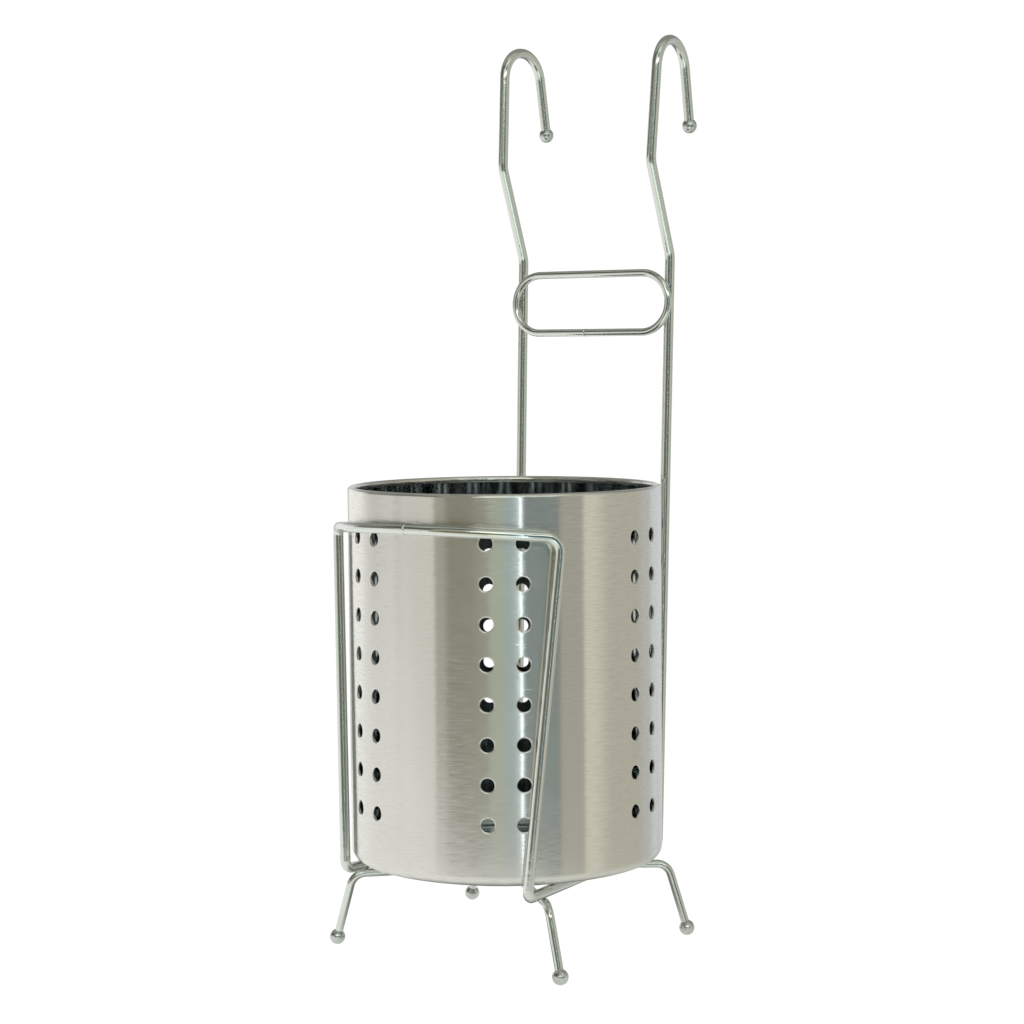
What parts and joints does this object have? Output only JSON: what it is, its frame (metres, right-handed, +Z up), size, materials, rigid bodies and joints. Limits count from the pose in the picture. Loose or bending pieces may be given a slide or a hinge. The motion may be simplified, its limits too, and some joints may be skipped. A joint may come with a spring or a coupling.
{
  "type": "cutlery holder",
  "caption": "Perforated round steel canister for cutlery that lifts out of a bent-wire rack with ball feet, a brace ring and hooks for a rail.",
  "frame": {"origin": "on the canister's axis, in the plane that the four foot balls stand on", "axes": "+Z up along the canister's axis, +Y towards the hooks and the rail at the back, +X to the right seen from the front"},
  "size_m": [0.12, 0.1519, 0.3524],
  "materials": {
    "canister_steel": "stainless sheet, finely brushed round the wall, satin gloss",
    "wire_steel": "polished stainless wire",
    "ball_steel": "polished stainless balls"
  },
  "bodies": {
    "rack": {"right_side_wire": "wire_steel", "left_side_wire": "wire_steel", "brace_ring": "wire_steel", "upper_foot_wire": "wire_steel", "lower_foot_wire": "wire_steel", "front_right_foot_ball": "ball_steel", "front_left_foot_ball": "ball_steel", "back_right_foot_ball": "ball_steel", "back_left_foot_ball": "ball_steel", "right_hook_ball": "ball_steel", "left_hook_ball": "ball_steel"},
    "canister": {"canister_wall": "canister_steel", "canister_base": "canister_steel"}
  },
  "joints": [
    {"name": "canister_lift", "type": "slide", "parent": "rack", "child": "canister", "axis": [0, 0, 1], "range_m": [0, 0.14]}
  ]
}
